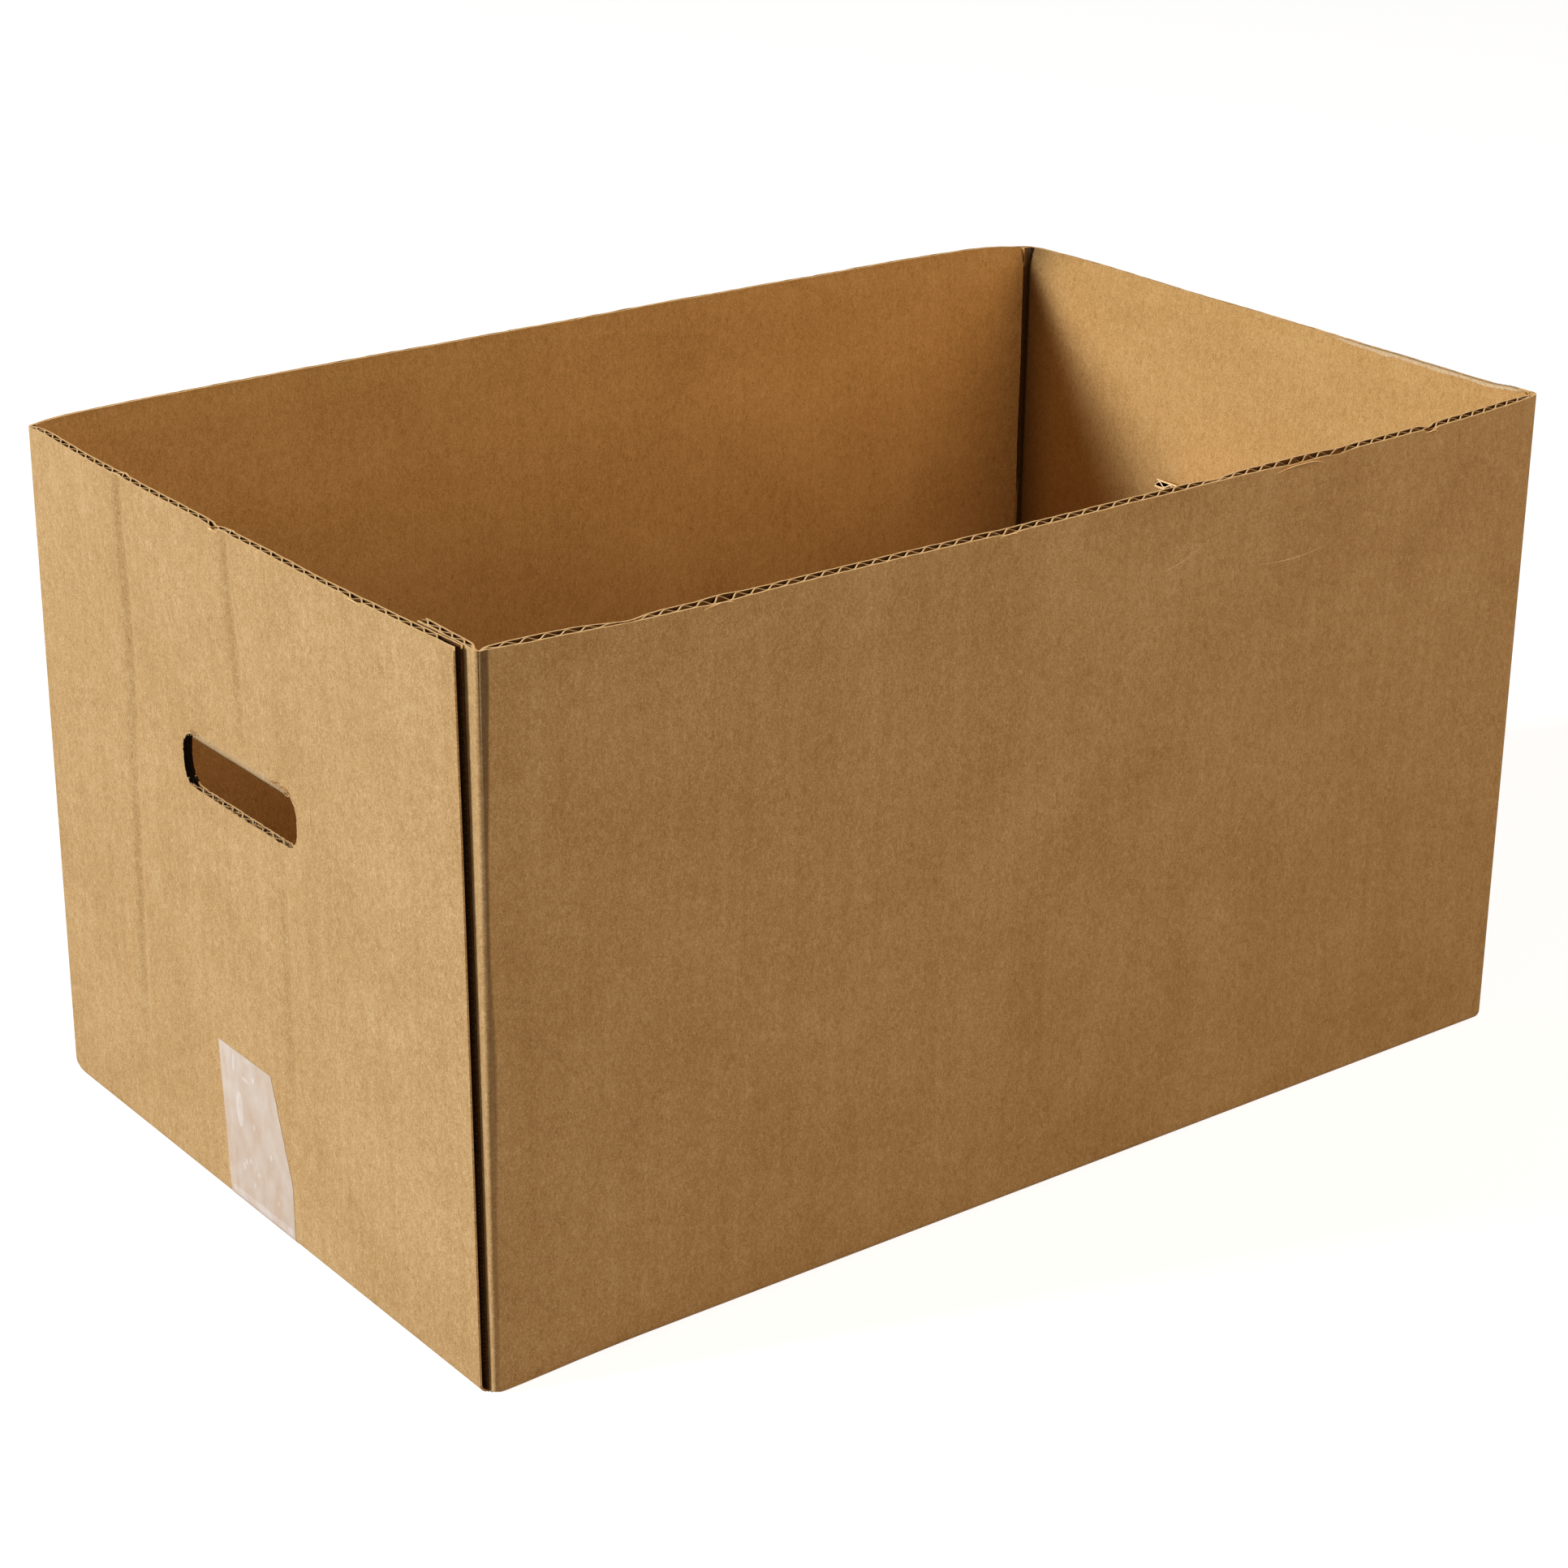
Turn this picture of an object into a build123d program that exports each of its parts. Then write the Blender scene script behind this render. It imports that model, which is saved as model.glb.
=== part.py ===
from build123d import *
import os
from math import hypot

os.makedirs("parts", exist_ok=True)

# An open-top carton folded from one blank of single-wall corrugated board.
# The rim is a raw cut edge all round, so the fluting shows in it. Four bottom
# flaps close the base under a strip of tape, and a die-cut flap in each end
# wall is pushed inwards to leave a hand hole.
#
# Millimetres, +Z up. The origin is on the floor under the carton's centre.
# X runs along the length, from the near end at -X to the far end at +X.
# The near long wall is at -Y.

# Overall size, outside
LENGTH = 550.0
WIDTH = 340.0
HEIGHT = 300.0

# Corrugated board: two liners and a zigzag medium between them
BOARD = 4.0
LINER = 0.35
MEDIUM = 0.25
FLUTE_PITCH = 8.0

# Folds: the inside radius of a wall corner, and the outside radius at the floor
CORNER_INSIDE = 0.5
FLOOR_FOLD = 3.5
# Board this far from a fold is crushed by the scoring and has no open flute
SCORE_CRUSH = 6.0

# Glued joint at the near corner: the lap goes behind the near end wall
LAP_WIDTH = 38.0
CUT_SETBACK = 5.5
LAP_FOLD_SHARE = 0.8

# Bottom flaps: the long pair is folded over the short pair
SEAM_GAP = 1.0
LAYER_GAP = 0.3
SLOT_GAP = 2.0

# Hand holes, measured down from the rim to the crease that the flap hangs on
HOLE_LENGTH = 90.0
HOLE_HEIGHT = 24.5
HOLE_CORNER = 10.0
HOLE_DROP = 96.0
CREASE_ROLL = 3.0
CREASE_GAP = 0.3
FLAP_CLEARANCE = 0.6
# How far a flap is pushed in from its closed place, in degrees
FLAP_FOLD = 112.0

# Tape along the bottom seam and up both ends, with one corner torn off
TAPE_WIDTH = 50.0
TAPE_THICKNESS = 0.1
TAPE_RISE = 71.0
# The tape is pressed into the board, so the carton stands on its flaps
TAPE_BED = 0.05
TEAR_WIDTH = 14.0
TEAR_HEIGHT = 44.0

# Cutting shapes reach this far past the faces that they cut
OVERRUN = 2.0

# The side of X that an end wall is on
NEAR = -1
FAR = 1

# Places that follow from the sizes above
HALF_LENGTH = LENGTH / 2
HALF_WIDTH = WIDTH / 2
CORNER_OUTSIDE = CORNER_INSIDE + BOARD
HOLE_TOP = HEIGHT - HOLE_DROP
MINOR_FLOOR = BOARD + LAYER_GAP
MINOR_TOP = MINOR_FLOOR + BOARD
FLAP_DEPTH = (WIDTH - SEAM_GAP) / 2


def between(low, high):
    """A box from its lowest corner to its highest."""
    size = Vector(*high) - Vector(*low)
    return Pos(*low) * Box(size.X, size.Y, size.Z, align=(Align.MIN, Align.MIN, Align.MIN))


def rounded_outline(points, radii):
    """A face with straight sides, each corner rounded by its own radius."""
    face = make_face(Polyline(*points, close=True))
    for point, radius in zip(points, radii):
        if radius > 0:
            corner = face.vertices().sort_by_distance(Vector(*point)).first
            face = fillet(corner, radius)
    return face


def wall_plan():
    """The folded strip seen from above: four walls and the lap behind the near end wall."""
    near_end = -HALF_LENGTH
    near_long = -HALF_WIDTH
    lap_face = near_end + BOARD
    lap_back = lap_face + BOARD
    lap_fold = min(CORNER_OUTSIDE, CUT_SETBACK * LAP_FOLD_SHARE)
    outside = [
        (near_end, near_long + CUT_SETBACK),
        (near_end, HALF_WIDTH),
        (HALF_LENGTH, HALF_WIDTH),
        (HALF_LENGTH, near_long),
        (lap_face, near_long),
        (lap_face, near_long + CUT_SETBACK),
    ]
    inside = [
        (lap_face, HALF_WIDTH - BOARD),
        (HALF_LENGTH - BOARD, HALF_WIDTH - BOARD),
        (HALF_LENGTH - BOARD, near_long + BOARD),
        (lap_back, near_long + BOARD),
        (lap_back, near_long + LAP_WIDTH),
        (lap_face, near_long + LAP_WIDTH),
    ]
    outer = rounded_outline(outside, [0, CORNER_OUTSIDE, CORNER_OUTSIDE, CORNER_OUTSIDE, lap_fold, 0])
    inner = rounded_outline(inside, [CORNER_INSIDE, CORNER_INSIDE, CORNER_INSIDE, CORNER_INSIDE, 0, 0])
    return outer - inner


def folded_envelope(inset):
    """The carton's outer form, with its corner folds and its folds at the floor rounded."""
    block = between(
        (inset - HALF_LENGTH, inset - HALF_WIDTH, inset),
        (HALF_LENGTH - inset, HALF_WIDTH - inset, HEIGHT + OVERRUN),
    )
    block = fillet(block.edges().filter_by(Axis.Z), CORNER_OUTSIDE - inset)
    return fillet(block.faces().sort_by(Axis.Z).first.edges(), FLOOR_FOLD - inset)


def flutes(outer_face, run, reach):
    """The open cells on both sides of the medium, along a run of board.

    outer_face lies on the board's outer liner, with its X along the run, its Y
    into the board and its Z along the flutes, which are reach long.
    """
    half_pitch = FLUTE_PITCH / 2
    cavity = BOARD - 2 * LINER
    slant = hypot(half_pitch, cavity)
    half_base = half_pitch - MEDIUM * slant / cavity / 2
    rise = cavity * half_base / half_pitch
    count = int((run - 2 * half_base) / half_pitch) + 1
    first = (run - (count - 1) * half_pitch) / 2
    cells = []
    for index in range(count):
        middle = first + index * half_pitch
        if index % 2:
            base, apex = BOARD - LINER, BOARD - LINER - rise
        else:
            base, apex = LINER, LINER + rise
        corners = [(middle - half_base, base), (middle + half_base, base), (middle, apex)]
        cells += extrude(outer_face * make_face(Polyline(*corners, close=True)), reach).solids()
    return cells


def hole_outline(end, gap, top_gap):
    """A hand hole's outline on an end wall's outer face, drawn in by a gap."""
    half = HOLE_LENGTH / 2 - gap
    top = HOLE_TOP - top_gap
    bottom = HOLE_TOP - HOLE_HEIGHT + gap
    corners = [(-half, bottom), (half, bottom), (half, top), (-half, top)]
    face = Plane((end * HALF_LENGTH, 0, 0), x_dir=(0, end, 0), z_dir=(end, 0, 0))
    return face * rounded_outline(corners, [HOLE_CORNER - gap] * len(corners))


def crease_span():
    """The straight length of the crease between a hand hole's rounded corners."""
    return HOLE_LENGTH - 2 * HOLE_CORNER


def crushed_crease(end):
    """Board above a hand hole that the crease has crushed solid."""
    low_x, high_x = sorted((end * HALF_LENGTH, end * (HALF_LENGTH - BOARD)))
    half = crease_span() / 2
    return between((low_x, -half, HOLE_TOP), (high_x, half, HOLE_TOP + CREASE_ROLL + LINER))


def crease_relief(end):
    """What the rolled outer liner leaves free at the top edge of a hand hole."""
    half = crease_span() / 2
    centre_x = end * (HALF_LENGTH - CREASE_ROLL)
    low_x, high_x = sorted((end * HALF_LENGTH, centre_x))
    square = between((low_x, -half, HOLE_TOP), (high_x, half, HOLE_TOP + CREASE_ROLL))
    bar = Cylinder(CREASE_ROLL, crease_span() + OVERRUN, rotation=(90, 0, 0))
    return square - Pos(centre_x, 0, HOLE_TOP + CREASE_ROLL) * bar


def hand_hole(end):
    """The cut through an end wall, with the rolled edge above it."""
    outline = Pos(end * OVERRUN, 0, 0) * hole_outline(end, 0, 0)
    through = extrude(outline, -(BOARD + 2 * OVERRUN))
    return [through, crease_relief(end)]


def hand_flap(end):
    """The die-cut flap of a hand hole, pushed in about its crease."""
    plate = extrude(hole_outline(end, FLAP_CLEARANCE, CREASE_GAP), -BOARD)
    run = crease_span()
    foot = HOLE_TOP - HOLE_HEIGHT
    cell_face = Plane((end * HALF_LENGTH, -end * run / 2, foot), x_dir=(0, end, 0), z_dir=(0, 0, 1))
    plate -= flutes(cell_face, run, HOLE_HEIGHT - CREASE_ROLL - LINER)
    crease = Axis((end * (HALF_LENGTH - BOARD), 0, HOLE_TOP), (0, end, 0))
    return plate.rotate(crease, FLAP_FOLD)


def bottom_flaps():
    """The long flaps on the floor, and the short flaps on top of them."""
    end_reach = HALF_LENGTH - BOARD - SLOT_GAP
    side_reach = HALF_WIDTH - BOARD - SLOT_GAP
    flaps = []
    for sign in (-1, 1):
        low_y, high_y = sorted((sign * HALF_WIDTH, sign * (HALF_WIDTH - FLAP_DEPTH)))
        flaps.append(between((-end_reach, low_y, 0), (end_reach, high_y, BOARD)))
        low_x, high_x = sorted((sign * HALF_LENGTH, sign * (HALF_LENGTH - FLAP_DEPTH)))
        flaps.append(between((low_x, -side_reach, MINOR_FLOOR), (high_x, side_reach, MINOR_TOP)))
    return flaps


def wall_flutes():
    """The flutes of the four walls and the lap, which run up to the raw rim."""
    foot = MINOR_TOP + SCORE_CRUSH
    reach = HEIGHT - foot + OVERRUN
    inset = CORNER_OUTSIDE + SCORE_CRUSH / 2
    long_run = LENGTH - BOARD - 2 * inset
    far_run = LENGTH - 2 * inset
    end_run = WIDTH - 2 * inset
    cut_run = WIDTH - inset - CUT_SETBACK - LINER
    lap_run = LAP_WIDTH - inset - LINER
    near_long = Plane((inset + BOARD - HALF_LENGTH, -HALF_WIDTH, foot), x_dir=(1, 0, 0), z_dir=(0, 0, 1))
    far_long = Plane((HALF_LENGTH - inset, HALF_WIDTH, foot), x_dir=(-1, 0, 0), z_dir=(0, 0, 1))
    near_end = Plane((-HALF_LENGTH, HALF_WIDTH - inset, foot), x_dir=(0, -1, 0), z_dir=(0, 0, 1))
    far_end = Plane((HALF_LENGTH, inset - HALF_WIDTH, foot), x_dir=(0, 1, 0), z_dir=(0, 0, 1))
    lap_end = LAP_WIDTH - HALF_WIDTH - LINER
    lap = Plane((BOARD - HALF_LENGTH, lap_end, foot), x_dir=(0, -1, 0), z_dir=(0, 0, 1))
    cells = flutes(near_long, long_run, reach)
    cells += flutes(far_long, far_run, reach)
    cells += flutes(lap, lap_run, reach)
    for end, face, run in ((NEAR, near_end, cut_run), (FAR, far_end, end_run)):
        crushed = crushed_crease(end)
        for cell in flutes(face, run, reach):
            cells += (cell - crushed).solids()
    return cells


def short_flap_flutes():
    """The flutes of the short bottom flaps, open at the edges seen inside the carton."""
    run = WIDTH - 2 * (BOARD + SLOT_GAP + LINER)
    reach = FLAP_DEPTH - BOARD - SCORE_CRUSH + OVERRUN
    cells = []
    for sign in (-1, 1):
        start = (sign * (HALF_LENGTH - BOARD - SCORE_CRUSH), sign * run / 2, MINOR_FLOOR)
        cells += flutes(Plane(start, x_dir=(0, -sign, 0), z_dir=(-sign, 0, 0)), run, reach)
    return cells


def tape_strip(top, bottom):
    """A strip along the seam and up both ends, between two depths in the board."""
    half = TAPE_WIDTH / 2
    shell = folded_envelope(top) - folded_envelope(bottom)
    strip = between((-LENGTH, -half, -OVERRUN), (LENGTH, half, TAPE_RISE))
    tear_points = [
        (-half - OVERRUN, TAPE_RISE - TEAR_HEIGHT),
        (-half, TAPE_RISE - TEAR_HEIGHT),
        (TEAR_WIDTH - half, TAPE_RISE + OVERRUN),
        (-half - OVERRUN, TAPE_RISE + OVERRUN),
    ]
    tear_face = Plane((-HALF_LENGTH - OVERRUN, 0, 0), x_dir=(0, 1, 0), z_dir=(1, 0, 0))
    tear = extrude(tear_face * make_face(Polyline(*tear_points, close=True)), 2 * OVERRUN)
    return (shell & strip) - tear


def bottom_tape():
    """The tape itself, a little below the face of the board."""
    return tape_strip(TAPE_BED, TAPE_BED + TAPE_THICKNESS)


def carton_blank():
    """The one folded sheet, with its flutes, hand holes and glued lap."""
    lap_foot = between(
        (BOARD - HALF_LENGTH, BOARD - HALF_WIDTH, 0),
        (2 * BOARD - HALF_LENGTH, LAP_WIDTH - HALF_WIDTH, MINOR_TOP + LAYER_GAP),
    )
    sheet = extrude(wall_plan(), HEIGHT) - lap_foot
    sheet = (sheet + bottom_flaps()) & folded_envelope(0)
    tape_bed = tape_strip(0, TAPE_BED + TAPE_THICKNESS)
    sheet -= hand_hole(NEAR) + hand_hole(FAR) + [tape_bed]
    return sheet - (wall_flutes() + short_flap_flutes())


pieces = {
    "carton_blank": carton_blank(),
    "bottom_tape": bottom_tape(),
    "near_hand_flap": hand_flap(NEAR),
    "far_hand_flap": hand_flap(FAR),
}
for node, piece in pieces.items():
    export_step(piece, f"parts/{node}.step")
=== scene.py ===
import math

import bpy
import numpy as np
from mathutils import Matrix, Vector, noise


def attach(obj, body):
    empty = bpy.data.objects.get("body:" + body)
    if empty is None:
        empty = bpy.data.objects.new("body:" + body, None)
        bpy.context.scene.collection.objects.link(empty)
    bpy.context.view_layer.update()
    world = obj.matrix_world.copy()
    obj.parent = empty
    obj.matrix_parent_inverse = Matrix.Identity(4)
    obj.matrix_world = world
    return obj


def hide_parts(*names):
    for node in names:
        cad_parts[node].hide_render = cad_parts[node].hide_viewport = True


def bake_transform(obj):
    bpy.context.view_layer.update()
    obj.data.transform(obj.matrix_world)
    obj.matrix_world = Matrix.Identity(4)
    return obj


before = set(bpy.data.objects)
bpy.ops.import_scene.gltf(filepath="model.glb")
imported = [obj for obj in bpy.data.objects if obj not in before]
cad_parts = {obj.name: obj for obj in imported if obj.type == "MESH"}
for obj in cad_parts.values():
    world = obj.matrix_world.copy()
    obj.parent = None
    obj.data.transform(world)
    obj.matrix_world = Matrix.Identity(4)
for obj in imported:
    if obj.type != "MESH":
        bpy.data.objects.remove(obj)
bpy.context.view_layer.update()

# An open-top carton of brown single-wall corrugated board. Metres, in the part's own frame.
# The near end wall is at -X, the near long wall at -Y, and the glued lap is behind the near end wall.

# Sizes of the folded carton
LENGTH = 0.550
WIDTH = 0.340
HEIGHT = 0.300
HALF_LENGTH = LENGTH / 2
HALF_WIDTH = WIDTH / 2

# The board. Its papers are drawn a little thicker than real, so that their cut edges show
BOARD = 0.0040
LINER = 0.00080
MEDIUM = 0.00055
FLUTE_PITCH = 0.0080
CORNER_RADIUS = 0.0045
LAP_RADIUS = 0.0011
FLOOR_FOLD = 0.0035
LAP_WIDTH = 0.038
CUT_TOP = 0.0072
CUT_FOOT = 0.0035
LAYER_GAP = 0.0003
FLAP_DEPTH = 0.1695
SLOT_GAP = 0.0020
SEAM_GAP = 0.0010
MINOR_FLOOR = BOARD + LAYER_GAP
MINOR_TOP = MINOR_FLOOR + BOARD

# Hand holes
HOLE_LENGTH = 0.090
HOLE_HEIGHT = 0.0245
HOLE_CORNER = 0.010
HOLE_TOP = 0.204
HINGE_X = HALF_LENGTH - BOARD
FLAP_FOLD = math.radians(112)
FLAP_CLEARANCE = 0.0006
CREASE_GAP = 0.0002

LAP_FACE = BOARD - HALF_LENGTH
# What lies further out along X than this belongs to an end wall
END_WALL_X = 0.262


# Small helpers for the modelling

def clear_selection():
    """Leaves nothing selected, so that the next operator acts on its own piece alone."""
    if bpy.context.object and bpy.context.object.mode != "OBJECT":
        bpy.ops.object.mode_set(mode="OBJECT")
    bpy.ops.object.select_all(action="DESELECT")


def take(piece):
    """Makes one piece the selected and active one."""
    clear_selection()
    piece.select_set(True)
    bpy.context.view_layer.objects.active = piece
    return piece


def places(piece):
    """The piece's vertices as rows of x, y, z."""
    co = np.zeros(len(piece.data.vertices) * 3)
    piece.data.vertices.foreach_get("co", co)
    return co.reshape(-1, 3)


def put(piece, co):
    """Moves the piece's vertices to new places."""
    piece.data.vertices.foreach_set("co", np.ascontiguousarray(co).ravel())
    piece.data.update()


def ease(t):
    """Goes smoothly from 0 to 1."""
    t = np.clip(t, 0.0, 1.0)
    return t * t * (3 - 2 * t)


def bell(offset, half_width):
    """1 at no offset, and nearly 0 at two half widths."""
    return np.exp(-(np.asarray(offset) / half_width) ** 2)


def ripple(values, size, seed):
    """Smooth noise from -1 to 1 along a line, with features of about the given size."""
    return np.array([noise.noise((value / size, seed * 7.31, 0.5)) for value in np.ravel(values)])


def ripple_field(along, up, size_along, size_up, seed):
    """Smooth noise from -1 to 1 over a sheet."""
    pairs = zip(np.ravel(along) / size_along, np.ravel(up) / size_up)
    return np.array([noise.noise((a, b, seed * 3.17)) for a, b in pairs])


def apply_modifier(piece, kind, settings):
    """Adds a modifier with its settings and applies it."""
    take(piece)
    modifier = piece.modifiers.new(kind.lower(), kind)
    for key, value in settings.items():
        setattr(modifier, key, value)
    bpy.ops.object.modifier_apply(modifier=modifier.name)
    return piece


def give_papers(piece, papers):
    """Gives a board piece its papers: the face, the cut edges, and the side turned to the flutes."""
    piece.data.materials.clear()
    for paper in papers:
        piece.data.materials.append(paper)
    return piece


def named(name):
    """The piece that the last operator left active, with a name for it and its mesh."""
    piece = bpy.context.object
    piece.name = name
    piece.data.name = name
    return piece


def join(name, parts):
    """Joins several parts into the first one."""
    take(parts[0])
    for part in parts[1:]:
        part.select_set(True)
    bpy.ops.object.join()
    return named(name)


def remove(piece):
    """Deletes a block that was only there to cut with."""
    take(piece)
    bpy.ops.object.delete()


def smooth(piece):
    """Smooth shading over bends, with sharp cut edges."""
    take(piece)
    bpy.ops.object.shade_smooth_by_angle(angle=math.radians(38))
    return piece


def on_body(piece, body, slot, *nodes):
    """Lets a finished piece ride on a body and stand for its CAD nodes."""
    smooth(piece)
    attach(piece, body)
    if nodes:
        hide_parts(*nodes)
    return piece


def sheet(name, us, vs, place):
    """A grid of paper with a measure across the flutes and along them, put in place by a function."""
    clear_selection()
    bpy.ops.mesh.primitive_grid_add(x_subdivisions=len(us) - 1, y_subdivisions=len(vs) - 1, size=2)
    piece = named(name)
    grid = places(piece)
    column = np.rint((grid[:, 0] + 1) / 2 * (len(us) - 1)).astype(int)
    row = np.rint((grid[:, 1] + 1) / 2 * (len(vs) - 1)).astype(int)
    put(piece, place(column, row))
    corners = np.zeros(len(piece.data.loops), int)
    piece.data.loops.foreach_get("vertex_index", corners)
    flat = np.stack((np.asarray(us)[column], np.asarray(vs)[row]), axis=1)[corners]
    piece.data.uv_layers[0].name = "board"
    piece.data.uv_layers[0].data.foreach_set("uv", flat.ravel())
    return piece


def thicken(piece, thickness, offset):
    """Gives a sheet of paper its thickness: second material on the cut edges, third inside."""
    return apply_modifier(piece, "SOLIDIFY", {
        "thickness": thickness, "offset": offset, "material_offset_rim": 1, "material_offset": 2,
        "use_even_offset": False,
    })


def set_shade(piece, shade):
    """Keeps the painted shade at each vertex, from 0 to 1, for its material."""
    attribute = piece.data.attributes.new("shade", "FLOAT", "POINT")
    attribute.data.foreach_set("value", np.ascontiguousarray(shade))


# Materials

def srgb(code):
    """A hex colour as linear red, green, blue, alpha."""
    channels = [int(code[i:i + 2], 16) / 255 for i in (1, 3, 5)]
    linear = [c / 12.92 if c <= 0.04045 else ((c + 0.055) / 1.055) ** 2.4 for c in channels]
    return (*linear, 1.0)


def node(tree, kind, settings=None, inputs=None):
    """Adds a node with its settings, and its inputs as values or links."""
    made = tree.nodes.new(kind)
    for key, value in (settings or {}).items():
        setattr(made, key, value)
    for key, value in (inputs or {}).items():
        if isinstance(value, bpy.types.NodeSocket):
            tree.links.new(value, made.inputs[key])
        else:
            made.inputs[key].default_value = value
    return made


def new_material(name):
    """An empty node material with its output, and the tree to build in."""
    material = bpy.data.materials.new(name)
    material.use_nodes = True
    tree = material.node_tree
    tree.nodes.clear()
    return material, tree, node(tree, "ShaderNodeOutputMaterial")


def kraft_paper(name, low, middle, high, seed, bands):
    """Uncoated kraft liner, a felted paper of brown fibres, glued over the flutes.

    The eye sees a fine grain of pale and dark fibres, cloudy patches of denser pulp, soft bands along
    the flutes, and faint lines where the paper sinks between them. The point attribute shade mixes in
    painted shade: a painted shadow beside the glued fold, painted shade in the far inner corner and
    over the far end wall beside it, along the crushed lines and under the crease roll.
    """
    material, tree, output = new_material(name)
    sheet = node(tree, "ShaderNodeUVMap", {"uv_map": "board"}).outputs["UV"]
    shift = (seed * 1.37, seed * 0.71, seed)
    plain = node(tree, "ShaderNodeMapping", None, {"Vector": sheet, "Location": shift}).outputs["Vector"]

    lean = {"Vector": plain, "Rotation": (0.0, 0.0, math.radians(35)), "Scale": (1.0, 0.5, 1.0)}
    leaning = node(tree, "ShaderNodeMapping", None, lean).outputs["Vector"]
    drawn = {"Vector": plain, "Scale": (1.0, 0.05, 1.0)}
    long_lines = node(tree, "ShaderNodeMapping", None, drawn).outputs["Vector"]
    fibre, speck, cloud, patch, band = [
        node(tree, "ShaderNodeTexNoise", None, {
            "Vector": vector, "Scale": scale, "Detail": detail, "Roughness": roughness,
            "Distortion": distortion,
        }).outputs["Fac"]
        for vector, scale, detail, roughness, distortion in (
            # Felted fibres about 3 mm long, coarser than real so that they show, and a grain of 0.7 mm
            (leaning, 700.0, 3.0, 0.7, 1.4),
            (plain, 1500.0, 2.0, 0.7, 0.4),
            # Clouds of denser pulp, about 7 mm and 50 mm across
            (plain, 140.0, 4.0, 0.6, 0.6),
            (plain, 20.0, 2.0, 0.5, 0.3),
            # Soft bands along the flutes, about 9 mm wide and some 150 mm long
            (long_lines, 110.0, 2.0, 0.55, 0.0),
        )
    ]
    # One line for each flute, 8 mm apart
    flute_scale = 2 * math.pi / FLUTE_PITCH / 20
    flute = node(tree, "ShaderNodeTexWave", {"wave_type": "BANDS", "bands_direction": "X"},
                 {"Vector": sheet, "Scale": flute_scale, "Distortion": 0.0}).outputs["Fac"]
    shares = ((fibre, 0.40), (speck, 0.38), (cloud, 0.11), (patch, 0.11), (band, bands), (flute, 0.008))
    total = 0.0
    for source, share in shares:
        total = node(tree, "ShaderNodeMath", {"operation": "MULTIPLY_ADD"},
                     {0: source, 1: share, 2: total}).outputs[0]
    middle_value = 0.5 * sum(share for _, share in shares)
    ramp = node(tree, "ShaderNodeValToRGB", None, {"Fac": total})
    colours = ramp.color_ramp
    colours.elements[0].position = middle_value - 0.14
    colours.elements[0].color = srgb(low)
    colours.elements[1].position = middle_value + 0.14
    colours.elements[1].color = srgb(high)
    colours.elements.new(middle_value).color = srgb(middle)
    # Painted shade: the point attribute shade mixes the paper towards dark brown
    shade = node(tree, "ShaderNodeAttribute", {"attribute_name": "shade"}).outputs["Fac"]
    painted_shade_colour = node(tree, "ShaderNodeMix", {"data_type": "RGBA"},
                   {"Factor": shade, "A": ramp.outputs["Color"], "B": srgb("#2b1a09")}).outputs["Result"]
    height = node(tree, "ShaderNodeMath", {"operation": "MULTIPLY_ADD"},
                  {0: flute, 1: 0.4, 2: fibre}).outputs[0]
    bump = node(tree, "ShaderNodeBump", None,
                {"Height": height, "Strength": 0.35, "Distance": 0.00012}).outputs["Normal"]
    shader = node(tree, "ShaderNodeBsdfPrincipled", None,
                  {"Base Color": painted_shade_colour, "Roughness": 0.92, "IOR": 1.5,
                   "Specular IOR Level": 0.25, "Normal": bump})
    tree.links.new(shader.outputs["BSDF"], output.inputs["Surface"])
    return material


def cut_paper(name, low, high, glow=0.0):
    """The cut edge of kraft paper, pale and fuzzy, as torn fibres stand up in it and catch the light.

    The glow is painted light, which makes the pale edges brighter than the lamps make them.
    """
    material, tree, output = new_material(name)
    coords = node(tree, "ShaderNodeTexCoord").outputs["Object"]
    # Tufts about 1 mm apart
    tuft = node(tree, "ShaderNodeTexNoise", None,
                {"Vector": coords, "Scale": 900.0, "Detail": 3.0, "Roughness": 0.6}).outputs["Fac"]
    ramp = node(tree, "ShaderNodeValToRGB", None, {"Fac": tuft})
    ramp.color_ramp.elements[0].position = 0.35
    ramp.color_ramp.elements[0].color = srgb(low)
    ramp.color_ramp.elements[1].position = 0.62
    ramp.color_ramp.elements[1].color = srgb(high)
    bump = node(tree, "ShaderNodeBump", None,
                {"Height": tuft, "Strength": 0.6, "Distance": 0.0002}).outputs["Normal"]
    shader = node(tree, "ShaderNodeBsdfPrincipled", None,
                  {"Base Color": ramp.outputs["Color"], "Roughness": 0.95, "Specular IOR Level": 0.2,
                   "Emission Color": srgb("#f0b66e"), "Emission Strength": glow, "Normal": bump})
    tree.links.new(shader.outputs["BSDF"], output.inputs["Surface"])
    return material


OUTER_KRAFT = kraft_paper("kraft liner outside", "#a17a4a", "#c29c66", "#dcbc8c", 1, 0.07)
# The inner liner is the same kraft, drawn brighter and warmer as painted light for the inside of the carton
INNER_KRAFT = kraft_paper("kraft liner inside", "#b08348", "#d4a867", "#ecc486", 4, 0.03)
# Greyer at the crease: partly the stretched paper, partly a painted sheen on the roll
STRETCHED_KRAFT = kraft_paper("kraft liner at the crease", "#aa8a5f", "#c6a474", "#dcbf94", 7, 0.0)
# Darker than the liners: partly the fluting's own tone, partly painted shade in the flute cells
FLUTING = cut_paper("fluting paper", "#5e3f1c", "#845c2e")
# The cut edges glow with painted light
CUT_EDGE = cut_paper("cut kraft edge", "#e0ba80", "#ffe4b4", 0.27)
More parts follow.
